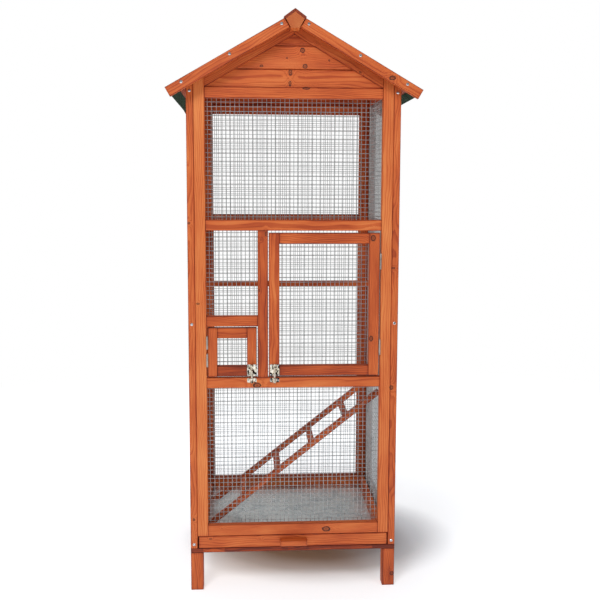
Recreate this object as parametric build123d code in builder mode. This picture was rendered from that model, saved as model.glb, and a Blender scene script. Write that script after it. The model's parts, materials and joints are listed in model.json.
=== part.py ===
from build123d import *
import os
from math import cos, sin, tan, radians, floor

# A tall wooden bird cage on four short feet: panels of square timber and welded wire mesh,
# two hinged doors with barrel bolts, a pull-out tray, a perch, a ladder and a felted gable roof.
# Millimetres.  +Z is up and the front faces -Y.  The origin is on the floor, midway between the
# sides and midway between the front and the back.

# ---------------------------------------------------------------- driving dimensions
body_width = 598.0          # across the corner strips
body_depth = 546.0          # front face to back face
wall_height = 1446.8        # floor to the top of the rail under each gable
timber = 20.0               # thickness of every frame member
stile = 31.0                # width of an upright
rail = 30.0                 # height of a cross rail
ease = 1.2                  # chamfer that takes the sharpness off every timber
hairline = 0.2              # open joint between two timbers of one sub-part

foot = 36.0                 # side of a square foot
foot_height = 112.5
base_thickness = 13.0       # battens of the base

slot_height = 37.0          # gap that the tray slides in
bottom_rail = 32.5
lower_rail_z = 601.0        # undersides of the front rails
upper_rail_z = 1051.0
side_mid_rail_z = 1041.0
side_top_rail_z = 1433.0
mullion_left, mullion_right = -102.8, -73.4
short_rail_z = 779.3        # rail over the small door

roof_pitch = 30.0
eave_overhang = 53.0        # outside the corner strips
roof_overhang = 48.0        # in front of the front face and behind the back face
gable_rail = 30.0
board_thickness = 13.0      # roof boards
felt = 2.0
felt_turn = 28.0            # felt turned under the eave
barge_width, barge_thickness = 28.0, 15.0
beam_half, beam_height = 25.5, 43.5
cap_rise = 6.0              # degrees that the ridge cap is steeper than the roof
cap_thickness, cap_half = 7.3, 31.0
gable_board = 10.0          # thickness of the boards that fill a gable
gable_recess = 4.5

wire = 1.1                  # welded mesh: thickness of a wire and pitch of the wires
pitch = 12.7
mesh_lap = 9.0              # mesh that lies behind the timber
weld_gap = 0.05

door_bottom_gap, door_top_gap = 4.0, 6.5
hinge_gap, free_gap_main, free_gap_small = 3.4, 2.4, 3.6
door_stile, small_stile, door_rail = 30.0, 27.0, 30.0

hinge_offset = 2.9          # hinge axis in front of the front face
knuckle_r, pin_r, running = 2.6, 1.2, 0.05
leaf, leaf_depth = 1.0, 15.0
main_hinge_height, main_hinge_z = 44.0, (717.0, 964.0)
small_hinge_height, small_hinge_z = 36.0, (681.7, 732.7)

bolt_plate_w, bolt_plate_h, plate = 27.0, 33.5, 1.0
bolt_r, bolt_length, bolt_travel = 3.2, 40.0, 12.0
strap_r, strap_wall, strap_h = 3.6, 1.2, 6.0
keeper_h = 13.0

tray_gap, tray_clear = 3.6, 0.5
tray_floor, tray_liner_t = 3.5, 0.8
handle_w, handle_d, handle_h = 78.0, 23.0, 16.5

perch_r = 9.0
perch_y, perch_z = -19.0, 874.0          # moved to the middle of the nearest mesh cell
ladder_angle, ladder_section = 38.4, 16.0
ladder_front_y, ladder_back_y = -163.0, 27.0
ladder_foot_x, ladder_reach = -242.0, 262.0
rung_width, rung_thickness, rung_count = 19.0, 9.0, 4
hook_r = 0.9

# ---------------------------------------------------------------- worked-out places
half_w, half_d = body_width / 2, body_depth / 2
panel_half = half_w - timber             # the front and back panels fit between the strips
opening_half = panel_half - stile
inner_d = half_d - timber                # inner faces of the front and back panels
front_y, back_y = (-half_d, -inner_d), (inner_d, half_d)
base_top = foot_height + base_thickness
frame_bottom = base_top + slot_height
front_bottom = frame_bottom + bottom_rail
top_rail_z = wall_height - rail
lower_top = lower_rail_z + rail

slope = tan(radians(roof_pitch))
cap_pitch = roof_pitch + cap_rise
sin_p, cos_p = sin(radians(roof_pitch)), cos(radians(roof_pitch))
roof_thickness = board_thickness + felt
gable_apex = wall_height + opening_half * slope
under_apex = gable_apex + gable_rail / cos_p
ridge_z = under_apex + roof_thickness / cos_p
beam_bottom = ridge_z - beam_height
shoulder_z = ridge_z - beam_half * tan(radians(cap_pitch))
beam_side = beam_half * cos_p + (ridge_z - shoulder_z) * sin_p
roof_start = beam_side + 2.5             # distances measured down the slope from the ridge line
roof_end = (half_w + eave_overhang) / cos_p
barge_y = half_d + roof_overhang
roof_y = barge_y - barge_thickness

main_left, main_right = mullion_right + free_gap_main, opening_half - hinge_gap
small_left, small_right = -opening_half + hinge_gap, mullion_left - free_gap_small
door_bottom = lower_top + door_bottom_gap
main_top = upper_rail_z - door_top_gap
small_top = short_rail_z - door_bottom_gap
axis_y = -half_d - hinge_offset
axis_main = opening_half - hinge_gap / 2
axis_small = -axis_main
main_bolt_x = main_left + door_stile / 2 + 1.0
small_bolt_x = small_right - small_stile / 2
bolt_y = -half_d - plate - bolt_r - 0.7
bolt_tip = lower_top + 0.3
plate_z = door_bottom + 1.0

tray_half = panel_half - tray_gap
tray_bottom = base_top + tray_clear
tray_top = frame_bottom - tray_clear
tray_back = inner_d - 4.0
walls_z = tray_bottom + tray_floor

side_mesh_low = frame_bottom + 0.5 - mesh_lap
side_mesh_high = side_top_rail_z + mesh_lap
side_stile_in = inner_d - stile - 1.0


# ---------------------------------------------------------------- helpers
def mid(low, high):
    return (low + high) / 2


def board(x, y, z, along, chamfer_by=ease):
    """A straight timber between low and high coordinates, its four long edges eased."""
    with Locations((mid(*x), mid(*y), mid(*z))):
        Box(x[1] - x[0], y[1] - y[0], z[1] - z[0])
    if chamfer_by:
        chamfer(edges(Select.LAST).filter_by(along), chamfer_by)


def prism(points, y):
    """A flat outline of (x, z) corners, carried from y[0] to y[1]."""
    with BuildSketch(Plane.XZ.offset(-y[1])) as outline:
        with BuildLine():
            Polyline(*points, close=True)
        make_face()
    extrude(outline.sketch, amount=y[1] - y[0])


def on_slope(s, n, side=1):
    """The point s down the roof slope from the ridge line and n square to it, outwards."""
    return (side * (s * cos_p + n * sin_p), ridge_z - s * sin_p + n * cos_p)


def slope_board(s, n, y, side):
    """A board that lies in the slope of the roof."""
    prism([on_slope(s[0], n[0], side), on_slope(s[1], n[0], side),
           on_slope(s[1], n[1], side), on_slope(s[0], n[1], side)], y)


def under_roof(x):
    """Height of the roof boards' undersides over a point x from the centre."""
    return under_apex - slope * abs(x)


def cut_upright(x, y, z_low, along=Axis.Z):
    """A timber whose top is cut to the slope of the roof, its long edges eased."""
    prism([(x[0], z_low), (x[1], z_low), (x[1], under_roof(x[1])), (x[0], under_roof(x[0]))], y)
    chamfer(edges(Select.LAST).filter_by(along), ease)


def wire_places(low, high):
    """Places of the mesh wires across a span, centred in it."""
    count = floor((high - low) / pitch)
    start = mid(low, high) - count * pitch / 2
    return [start + i * pitch for i in range(count + 1)]


def mesh_xz(x, z, face_y, inward):
    """Welded mesh on a front or back face: upright wires on the timber, level wires inside them."""
    near = face_y + inward * wire / 2
    far = near + inward * (wire + weld_gap)
    with Locations(*[(px, near, mid(*z)) for px in wire_places(*x)]):
        Box(wire, wire, z[1] - z[0])
    with Locations(*[(mid(*x), far, pz) for pz in wire_places(*z)]):
        Box(x[1] - x[0], wire, wire)


def mesh_yz(y, z, face_x, inward):
    """Welded mesh on a side panel."""
    near = face_x + inward * wire / 2
    far = near + inward * (wire + weld_gap)
    with Locations(*[(near, py, mid(*z)) for py in wire_places(*y)]):
        Box(wire, wire, z[1] - z[0])
    with Locations(*[(far, mid(*y), pz) for pz in wire_places(*z)]):
        Box(wire, y[1] - y[0], wire)


def lapped(low, high):
    return (low - mesh_lap, high + mesh_lap)


def drill(places, direction, radius, depth):
    """Blind round holes that go in along a direction from each place."""
    with Locations(*[Plane(origin=p, z_dir=direction) for p in places]):
        Cylinder(radius, depth, align=(Align.CENTER, Align.CENTER, Align.MIN), mode=Mode.SUBTRACT)


def set_screws(screw, places, direction):
    """Copies of a screw whose shank points along a direction."""
    with Locations(*[Plane(origin=p, z_dir=direction) for p in places]):
        add(screw)


# ---------------------------------------------------------------- screws
def pan_screw(head_r, head_h, shank_r, length):
    """A domed cross-head screw: head below z = 0, shank up +Z."""
    with BuildPart() as screw:
        with BuildSketch(Plane.XZ) as profile:
            with BuildLine():
                Polyline((0, -head_h), (head_r * 0.55, -head_h), (head_r, -head_h * 0.35), (head_r, 0),
                         (shank_r, 0), (shank_r, length - shank_r), (0, length), close=True)
            make_face()
        revolve(profile.sketch, axis=Axis.Z)
        with Locations((0, 0, -head_h)):
            Box(head_r * 1.1, head_r * 0.22, head_h, mode=Mode.SUBTRACT)
            Box(head_r * 0.22, head_r * 1.1, head_h, mode=Mode.SUBTRACT)
    return screw.part


strip_screw = pan_screw(4.0, 2.0, 1.8, 34.0)
barge_screw = pan_screw(4.0, 2.0, 1.6, 38.0)
plate_screw = pan_screw(2.3, 1.2, 1.1, 12.0)
leaf_screw = pan_screw(1.5, 0.9, 1.1, 12.0)
perch_screw = pan_screw(4.0, 1.8, 1.8, 28.0)

strip_x = half_w - timber / 2
strip_screw_z = (base_top + 12.0, mid(base_top, wall_height), wall_height - 11.0)
front_strip_screws = [(s * strip_x, -half_d, z) for s in (-1, 1) for z in strip_screw_z]
back_strip_screws = [(x, -y, z) for x, y, z in front_strip_screws]
barge_screw_s = (roof_start + 14.0, mid(roof_start, roof_end) - 10.0, roof_end - 46.0)
barge_mid = -felt - board_thickness / 2 - 1.0
barge_points = [on_slope(s, barge_mid, side) for side in (-1, 1) for s in barge_screw_s]
front_barge_screws = [(x, -barge_y, z) for x, z in barge_points]
back_barge_screws = [(x, barge_y, z) for x, z in barge_points]

main_leaf_screws = [z + dz for z in main_hinge_z for dz in (-13.0, 13.0)]
small_leaf_screws = [z + dz for z in small_hinge_z for dz in (-10.5, 10.5)]
leaf_y = -half_d + leaf_depth / 2
corner_x, corner_z = bolt_plate_w / 2 - 3.2, bolt_plate_h / 2 - 3.2


def housing_corners(x):
    return [(x + sx * corner_x, -half_d, plate_z + bolt_plate_h / 2 + sz * corner_z)
            for sx in (-1, 1) for sz in (-1, 1)]


def keeper_places(x):
    return [(x + sx * corner_x, -half_d, lower_top - 1.0 - keeper_h / 2) for sx in (-1, 1)]


FORE, AFT, LEFT, RIGHT = (0, -1, 0), (0, 1, 0), (-1, 0, 0), (1, 0, 0)

# ---------------------------------------------------------------- base and feet
with BuildPart() as base_frame:
    for low, high in ((-half_d, -half_d + foot), (half_d - foot, half_d)):
        board((-half_w, half_w), (low, high), (foot_height, base_top), Axis.X)
    for low, high in ((-half_w, -half_w + foot), (half_w - foot, half_w)):
        inner = half_d - foot - hairline
        board((low, high), (-inner, inner), (foot_height, base_top), Axis.Y)

with BuildPart() as feet:
    for sx in (-1, 1):
        for sy in (-1, 1):
            x, y = sx * (half_w - foot / 2), sy * (half_d - foot / 2)
            board((x - foot / 2, x + foot / 2), (y - foot / 2, y + foot / 2), (0, foot_height), Axis.Z)

# ---------------------------------------------------------------- corner strips
with BuildPart() as front_corner_strips:
    for side in (-1, 1):
        cut_upright(sorted((side * panel_half, side * half_w)), front_y, base_top)
    drill(front_strip_screws, AFT, 1.8 + running, timber + 1)

with BuildPart() as rear_corner_strips:
    for side in (-1, 1):
        cut_upright(sorted((side * panel_half, side * half_w)), back_y, base_top)
    drill(back_strip_screws, FORE, 1.8 + running, timber + 1)

# ---------------------------------------------------------------- front panel
with BuildPart() as front_stiles:
    for side in (-1, 1):
        cut_upright(sorted((side * opening_half, side * panel_half)), front_y, frame_bottom)
    drill([(opening_half, leaf_y, z) for z in main_leaf_screws], RIGHT, 1.1 + running, 12.5)
    drill([(-opening_half, leaf_y, z) for z in small_leaf_screws], LEFT, 1.1 + running, 12.5)

opening_x = (-opening_half, opening_half)
with BuildPart() as front_top_rail:
    board(opening_x, front_y, (top_rail_z, wall_height), Axis.X)

with BuildPart() as front_upper_rail:
    board(opening_x, front_y, (upper_rail_z, upper_rail_z + rail), Axis.X)

with BuildPart() as front_lower_rail:
    board(opening_x, front_y, (lower_rail_z, lower_top), Axis.X)
    drill(keeper_places(main_bolt_x) + keeper_places(small_bolt_x), AFT, 1.1 + running, 12.5)

with BuildPart() as front_bottom_rail:
    board(opening_x, front_y, (frame_bottom, front_bottom), Axis.X)

with BuildPart() as front_mullion:
    board((mullion_left, mullion_right), front_y, (lower_top, upper_rail_z), Axis.Z)

with BuildPart() as front_short_rail:
    board((-opening_half, mullion_left), front_y, (short_rail_z, short_rail_z + rail), Axis.X)

with BuildPart() as front_mesh_top:
    mesh_xz(lapped(*opening_x), lapped(upper_rail_z + rail, top_rail_z), -inner_d, 1)

with BuildPart() as front_mesh_window:
    mesh_xz(lapped(-opening_half, mullion_left), lapped(short_rail_z + rail, upper_rail_z), -inner_d, 1)

with BuildPart() as front_mesh_bottom:
    mesh_xz(lapped(*opening_x), lapped(front_bottom, lower_rail_z), -inner_d, 1)


# ---------------------------------------------------------------- gables
def gable_rails(y):
    """The two sloping rails, notched round the ridge beam."""
    seat = beam_side + hairline
    seat_n = (beam_bottom - ridge_z + seat * sin_p) / cos_p
    notch = seat * cos_p + seat_n * sin_p
    shoulder = on_slope(seat, -roof_thickness)
    for side in (-1, 1):
        prism([(side * hairline, gable_apex), (side * opening_half, wall_height),
               (side * opening_half, under_roof(opening_half)), (side * shoulder[0], shoulder[1]),
               (side * notch, beam_bottom), (side * hairline, beam_bottom)], y)


def gable_boards(y, out):
    """Three level boards that fill the triangle, with a bevelled lap line between them."""
    total = gable_apex - wall_height
    laps = [wall_height, wall_height + 0.345 * total, wall_height + 0.785 * total, gable_apex]
    for low, high in zip(laps[:-1], laps[1:]):
        low_half, high_half = (gable_apex - low) / slope, (gable_apex - high) / slope
        level = high - (hairline if high < gable_apex else 0)
        ends = [(high_half, level), (-high_half, level)] if high_half > 1 else [(0, gable_apex)]
        prism([(-low_half, low), (low_half, low)] + ends, y)
        outer = edges(Select.LAST).filter_by(Axis.X).group_by(Axis.Y)[0 if out < 0 else -1]
        if low > wall_height:
            chamfer(outer.sort_by(Axis.Z)[0], 3.0)
        if high_half > 1:
            chamfer(edges(Select.LAST).filter_by(Axis.X).group_by(Axis.Y)[0 if out < 0 else -1]
                    .sort_by(Axis.Z)[-1], 1.5)


with BuildPart() as front_gable_rails:
    gable_rails(front_y)

with BuildPart() as front_gable_boards:
    gable_boards((-half_d + gable_recess, -half_d + gable_recess + gable_board), -1)

with BuildPart() as back_gable_rails:
    gable_rails(back_y)

with BuildPart() as back_gable_boards:
    gable_boards((half_d - gable_recess - gable_board, half_d - gable_recess), 1)

# ---------------------------------------------------------------- back panel
with BuildPart() as back_stiles:
    for side in (-1, 1):
        cut_upright(sorted((side * opening_half, side * panel_half)), back_y, base_top)

with BuildPart() as back_rails:
    for low, high in ((base_top, frame_bottom + 0.5), (upper_rail_z, upper_rail_z + rail),
                      (top_rail_z, wall_height)):
        board(opening_x, back_y, (low, high), Axis.X)

with BuildPart() as back_mesh:
    mesh_xz(lapped(*opening_x), lapped(frame_bottom + 0.5, top_rail_z), inner_d, -1)

# ---------------------------------------------------------------- side panels
side_y = (-side_stile_in, side_stile_in)
side_mesh_y = lapped(*side_y)
side_mesh_z = (side_mesh_low, side_mesh_high)
side_wires_y, side_wires_z = wire_places(*side_mesh_y), wire_places(*side_mesh_z)


def cell_middle(wires, near):
    """The middle of the mesh cell that a coordinate falls in."""
    return wires[0] + (floor((near - wires[0]) / pitch) + 0.5) * pitch


perch_at = (cell_middle(side_wires_y, perch_y), cell_middle(side_wires_z, perch_z))


def side_stiles(side):
    """Two uprights of a side panel, their tops bevelled to the roof."""
    x = sorted((side * panel_half, side * half_w))
    for y in ((-inner_d, -side_stile_in), (side_stile_in, inner_d)):
        cut_upright(x, y, base_top)
    screws = [(side * strip_x, -inner_d, z) for z in strip_screw_z]
    drill(screws, AFT, 1.8 + running, 15.0)
    drill([(x, inner_d, z) for x, y, z in screws], FORE, 1.8 + running, 15.0)


def side_rails(side):
    """Bottom, middle and bevelled top rail of a side panel."""
    x = sorted((side * panel_half, side * half_w))
    board(x, side_y, (base_top, frame_bottom + 0.5), Axis.Y)
    board(x, side_y, (side_mid_rail_z, side_mid_rail_z + rail), Axis.Y)
    cut_upright(x, side_y, side_top_rail_z, Axis.Y)


with BuildPart() as left_side_stiles:
    side_stiles(-1)

with BuildPart() as left_side_rails:
    side_rails(-1)

with BuildPart() as left_side_mesh:
    mesh_yz(side_mesh_y, side_mesh_z, -panel_half, 1)

with BuildPart() as right_side_stiles:
    side_stiles(1)

with BuildPart() as right_side_rails:
    side_rails(1)

with BuildPart() as right_side_mesh:
    mesh_yz(side_mesh_y, side_mesh_z, panel_half, -1)

# ---------------------------------------------------------------- roof
with BuildPart() as ridge_beam:
    low_x = beam_half - (shoulder_z - beam_bottom) * slope
    prism([(0, ridge_z), (beam_half, shoulder_z), (low_x, beam_bottom), (-low_x, beam_bottom),
           (-beam_half, shoulder_z)], (-barge_y - 1, barge_y + 1))

with BuildPart() as ridge_cap:
    cap_t, cap_c, cap_s = tan(radians(cap_pitch)), cos(radians(cap_pitch)), sin(radians(cap_pitch))
    cap_top = ridge_z + cap_thickness / cap_c
    cap_low = (cap_half - cap_thickness * cap_s, cap_top - cap_half * cap_t - cap_thickness * cap_c)
    for side in (-1, 1):
        g = side * hairline / 2
        prism([(g, ridge_z), (g, cap_top), (side * cap_half, cap_top - cap_half * cap_t),
               (side * cap_low[0], cap_low[1])], (-barge_y - 1, barge_y + 1))

roof_boards, eave = {}, roof_end - 2 * felt
for name, side in (("roof_board_left", -1), ("roof_board_right", 1)):
    with BuildPart() as roof_board:
        slope_board((roof_start, eave), (-roof_thickness, -felt), (-roof_y, roof_y), side)
        ends = [on_slope(s, barge_mid, side) for s in barge_screw_s]
        drill([(x, -roof_y, z) for x, z in ends], AFT, 1.6 + running, 25.0)
        drill([(x, roof_y, z) for x, z in ends], FORE, 1.6 + running, 25.0)
    roof_boards[name] = roof_board

with BuildPart() as roof_felt:
    for side in (-1, 1):
        under, turn = -roof_thickness - felt, eave + felt - felt_turn
        corners = [(roof_start, 0), (eave + felt, 0), (eave + felt, under), (turn, under),
                   (turn, -roof_thickness), (eave, -roof_thickness), (eave, -felt), (roof_start, -felt)]
        prism([on_slope(s, n, side) for s, n in corners], (-roof_y, roof_y))

with BuildPart() as bargeboards:
    for side in (-1, 1):
        for y in ((-barge_y, -roof_y), (roof_y, barge_y)):
            slope_board((roof_start, roof_end), (-barge_width, 0), y, side)
            outer = edges(Select.LAST).group_by(Axis.Y)[0 if y[0] < 0 else -1]
            chamfer(outer, ease)
    drill(front_barge_screws, AFT, 1.6 + running, barge_thickness + 1)
    drill(back_barge_screws, FORE, 1.6 + running, barge_thickness + 1)

# ---------------------------------------------------------------- perch and screws
perch_end = panel_half - 2 * wire - weld_gap
with BuildPart() as perch:
    with Locations(Plane(origin=(0, *perch_at), z_dir=RIGHT)):
        Cylinder(perch_r, 2 * perch_end)
    chamfer(edges(Select.LAST).filter_by(GeomType.CIRCLE), 1.0)
    drill([(perch_end, *perch_at)], LEFT, 1.8 + running, 26.0)
    drill([(-perch_end, *perch_at)], RIGHT, 1.8 + running, 26.0)

with BuildPart() as assembly_screws:
    set_screws(strip_screw, front_strip_screws, AFT)
    set_screws(strip_screw, back_strip_screws, FORE)
    set_screws(barge_screw, front_barge_screws, AFT)
    set_screws(barge_screw, back_barge_screws, FORE)
    keeper_screws = keeper_places(main_bolt_x) + keeper_places(small_bolt_x)
    set_screws(plate_screw, [(x, y - plate, z) for x, y, z in keeper_screws], AFT)
    leaf_face = opening_half - leaf + 0.95
    set_screws(leaf_screw, [(leaf_face, leaf_y, z) for z in main_leaf_screws], RIGHT)
    set_screws(leaf_screw, [(-leaf_face, leaf_y, z) for z in small_leaf_screws], LEFT)
    washer, washer_x = 1.2, panel_half + 0.05
    for side, way in ((1, LEFT), (-1, RIGHT)):
        with Locations(Plane(origin=(side * washer_x, *perch_at), z_dir=(side, 0, 0))):
            Cylinder(10.0, washer, align=(Align.CENTER, Align.CENTER, Align.MIN))
        set_screws(perch_screw, [(side * (washer_x + washer), *perch_at)], way)


# ---------------------------------------------------------------- hinges
def knuckle(x, z, height):
    """One rolled knuckle of a hinge."""
    with Locations((x, axis_y, z)):
        Cylinder(knuckle_r, height, align=(Align.CENTER, Align.CENTER, Align.MIN))


def hinge_leaf(axis_x, side, z, height, outer):
    """A leaf with its knuckles: outer ones on the frame's leaf, the middle one on the door's.

    side is +1 when this leaf lies on the +X side of the hinge axis."""
    third = height / 3
    low = z - height / 2
    bands = ((low, third - 0.2), (low + 2 * third + 0.2, third - 0.2)) if outer \
        else ((low + third + 0.2, third - 0.4),)
    far = axis_x + side * hinge_gap / 2
    x = sorted((far, far - side * leaf))
    board(x, (-half_d + 0.1, -half_d + leaf_depth), (low, low + height), Axis.Z, 0)
    for start, length in bands:
        board(x, (axis_y, -half_d + 0.5), (start, start + length), Axis.Z, 0)
        knuckle(axis_x, start, length)
        drill([(axis_x, axis_y, start - 1)], (0, 0, 1), pin_r + running, length + 2)


def leaf_holes(face_x, way, heights):
    drill([(face_x, leaf_y, z) for z in heights], way, 1.5 + running, leaf + 1)


with BuildPart() as hinge_frame_leaves:
    for z in main_hinge_z:
        hinge_leaf(axis_main, 1, z, main_hinge_height, True)
    for z in small_hinge_z:
        hinge_leaf(axis_small, -1, z, small_hinge_height, True)
    leaf_holes(opening_half - leaf - 0.5, RIGHT, main_leaf_screws)
    leaf_holes(-opening_half + leaf + 0.5, LEFT, small_leaf_screws)

with BuildPart() as hinge_pins:
    for x, heights, height in ((axis_main, main_hinge_z, main_hinge_height),
                               (axis_small, small_hinge_z, small_hinge_height)):
        for z in heights:
            with Locations((x, axis_y, z - height / 2)):
                Cylinder(pin_r, height + 0.1, align=(Align.CENTER, Align.CENTER, Align.MIN))
            with Locations((x, axis_y, z + height / 2 + 0.05)):
                Cylinder(2.0, 0.8, align=(Align.CENTER, Align.CENTER, Align.MIN))


# ---------------------------------------------------------------- barrel bolts
def arch(x, z):
    """A strap that arches over the bolt, between two heights."""
    outer_r, foot_y = strap_r + strap_wall, -half_d - plate / 2
    plane = Plane(origin=(x, bolt_y, z[0]), x_dir=RIGHT, z_dir=(0, 0, 1))
    back = foot_y - bolt_y
    with BuildSketch(plane) as section:
        Circle(outer_r)
        with Locations((0, back / 2)):
            Rectangle(2 * outer_r, back)
        Circle(strap_r, mode=Mode.SUBTRACT)
        with Locations((0, back / 2)):
            Rectangle(2 * strap_r, back, mode=Mode.SUBTRACT)
    extrude(section.sketch, amount=z[1] - z[0])


def bolt_plate(x, z, screws):
    """A flat plate on the timber, drilled for its screws."""
    board((x - bolt_plate_w / 2, x + bolt_plate_w / 2), (-half_d - plate, -half_d), z, Axis.Y, 2.0)
    drill([(px, py - plate - 1, pz) for px, py, pz in screws], AFT, 1.1 + running, plate + 2)


def bolt_housing(x):
    """Plate with two arched straps; the bolt's knob moves in the gap between them."""
    z = (plate_z, plate_z + bolt_plate_h)
    bolt_plate(x, z, housing_corners(x))
    arch(x, (z[0] + 1.0, z[0] + 1.0 + strap_h))
    arch(x, (z[1] - 1.0 - strap_h, z[1] - 1.0))


def bolt_rod(x):
    """Round bolt with a rounded tip and a knob that points forward."""
    with Locations((x, bolt_y, bolt_tip)):
        Cylinder(bolt_r, bolt_length, align=(Align.CENTER, Align.CENTER, Align.MIN))
    chamfer(edges(Select.LAST).filter_by(GeomType.CIRCLE), 1.0)
    knob_z = plate_z + bolt_plate_h - 1.0 - strap_h - 3.2
    with Locations(Plane(origin=(x, bolt_y, knob_z), z_dir=FORE)):
        Cylinder(1.6, 8.0, align=(Align.CENTER, Align.CENTER, Align.MIN))
    with Locations(Plane(origin=(x, bolt_y - 7.0, knob_z), z_dir=FORE)):
        Cylinder(2.8, 3.5, align=(Align.CENTER, Align.CENTER, Align.MIN))
        chamfer(edges(Select.LAST).filter_by(GeomType.CIRCLE).group_by(Axis.Y)[0], 0.8)


with BuildPart() as bolt_keepers:
    for x in (main_bolt_x, small_bolt_x):
        z = (lower_top - 1.0 - keeper_h, lower_top - 1.0)
        bolt_plate(x, z, keeper_places(x))
        arch(x, z)

# ---------------------------------------------------------------- tray
with BuildPart() as tray_front:
    board((-tray_half, tray_half), front_y, (tray_bottom + 0.3, tray_top - 0.5), Axis.X)

with BuildPart() as tray_handle:
    z = mid(tray_bottom, tray_top) - 1.0
    board((-handle_w / 2, handle_w / 2), (-half_d - handle_d, -half_d),
          (z - handle_h / 2, z + handle_h / 2), Axis.X, 2.0)
    chamfer(edges().group_by(Axis.Y)[0].filter_by(Axis.Z), 3.0)

with BuildPart() as tray_walls:
    for side in (-1, 1):
        board(sorted((side * (tray_half - timber), side * tray_half)), (-inner_d, tray_back),
              (walls_z, tray_top), Axis.Y)
    across = tray_half - timber - hairline
    board((-across, across), (tray_back - timber, tray_back), (walls_z, tray_top), Axis.X)

with BuildPart() as tray_bottom_board:
    board((-tray_half, tray_half), (-inner_d, tray_back), (tray_bottom, walls_z), Axis.X, 0)

with BuildPart() as tray_liner:
    board((-across, across), (-inner_d, tray_back - timber), (walls_z, walls_z + tray_liner_t), Axis.X, 0)


# ---------------------------------------------------------------- doors
def door_stiles(left, right, width, top, screws_x, way, screw_z, bolt_x):
    for x in ((left, left + width), (right - width, right)):
        board(x, front_y, (door_bottom, top), Axis.Z)
    drill([(screws_x, leaf_y, z) for z in screw_z], way, 1.1 + running, 12.5)
    drill(housing_corners(bolt_x), AFT, 1.1 + running, 12.5)


def door_rails(left, right, width, top):
    for z in ((door_bottom, door_bottom + door_rail), (top - door_rail, top)):
        board((left + width, right - width), front_y, z, Axis.X)


def door_screws(bolt_x, face_x, way, screw_z):
    set_screws(plate_screw, [(x, y - plate, z) for x, y, z in housing_corners(bolt_x)], AFT)
    set_screws(leaf_screw, [(face_x, leaf_y, z) for z in screw_z], way)


with BuildPart() as main_door_stiles:
    door_stiles(main_left, main_right, door_stile, main_top,
                main_right, LEFT, main_leaf_screws, main_bolt_x)

with BuildPart() as main_door_rails:
    door_rails(main_left, main_right, door_stile, main_top)

with BuildPart() as main_door_mesh:
    mesh_xz(lapped(main_left + door_stile, main_right - door_stile),
            lapped(door_bottom + door_rail, main_top - door_rail), -inner_d, 1)

with BuildPart() as main_door_hinge_leaves:
    for z in main_hinge_z:
        hinge_leaf(axis_main, -1, z, main_hinge_height, False)
    leaf_holes(main_right + leaf + 0.5, LEFT, main_leaf_screws)

with BuildPart() as main_door_bolt_housing:
    bolt_housing(main_bolt_x)

with BuildPart() as main_door_screws:
    door_screws(main_bolt_x, main_right + 0.05, LEFT, main_leaf_screws)

with BuildPart() as main_door_bolt:
    bolt_rod(main_bolt_x)

with BuildPart() as small_door_stiles:
    door_stiles(small_left, small_right, small_stile, small_top,
                small_left, RIGHT, small_leaf_screws, small_bolt_x)

with BuildPart() as small_door_rails:
    door_rails(small_left, small_right, small_stile, small_top)

with BuildPart() as small_door_mesh:
    mesh_xz(lapped(small_left + small_stile, small_right - small_stile),
            lapped(door_bottom + door_rail, small_top - door_rail), -inner_d, 1)

with BuildPart() as small_door_hinge_leaves:
    for z in small_hinge_z:
        hinge_leaf(axis_small, 1, z, small_hinge_height, False)
    leaf_holes(small_left - leaf - 0.5, RIGHT, small_leaf_screws)

with BuildPart() as small_door_bolt_housing:
    bolt_housing(small_bolt_x)

with BuildPart() as small_door_screws:
    door_screws(small_bolt_x, small_left - 0.05, RIGHT, small_leaf_screws)

with BuildPart() as small_door_bolt:
    bolt_rod(small_bolt_x)

# ---------------------------------------------------------------- ladder
lean = radians(ladder_angle)
along, square = (cos(lean), sin(lean)), (-sin(lean), cos(lean))
ladder_z = frame_bottom + 0.3
ladder_run = (ladder_reach - ladder_foot_x) / cos(lean)
half_section = ladder_section / 2


def on_ladder(s, n):
    """The point s up the ladder from its foot and n square to it."""
    return (ladder_foot_x + s * along[0] + n * square[0], ladder_z + s * along[1] + n * square[1])


with BuildPart() as ladder_stringers:
    slack = half_section / tan(lean)
    for y in (ladder_front_y, ladder_back_y):
        prism([on_ladder(slack, -half_section), on_ladder(ladder_run, -half_section),
               on_ladder(ladder_run, half_section), on_ladder(-slack, half_section)],
              (y - half_section, y + half_section))
        chamfer(edges(Select.LAST).filter_by(GeomType.LINE).group_by(Edge.length)[-1], ease)

with BuildPart() as ladder_rungs:
    y = (ladder_front_y + half_section, ladder_back_y - half_section)
    for i in range(rung_count):
        s = ladder_run * (0.19 + 0.205 * i)
        half = rung_width / 2
        prism([on_ladder(s - half, -rung_thickness / 2), on_ladder(s + half, -rung_thickness / 2),
               on_ladder(s + half, rung_thickness / 2), on_ladder(s - half, rung_thickness / 2)], y)


def hook(x_from, x_wire, side, y, z):
    """A bent wire that reaches through the mesh and turns down behind a level wire."""
    reach = x_wire + side * (2 * wire + 2.0)
    with Locations((mid(x_from, reach), y, z)):
        Box(abs(reach - x_from), 2 * hook_r, 2 * hook_r)
    with Locations((reach, y, z - 2.5)):
        Box(2 * hook_r, 2 * hook_r, 5.0 + 2 * hook_r)


def above_wire(z):
    """Height of a hook that rests over the level wire next below z."""
    below = [w for w in side_wires_z if w < z]
    return below[-1] + wire / 2 + hook_r + 0.3


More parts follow.
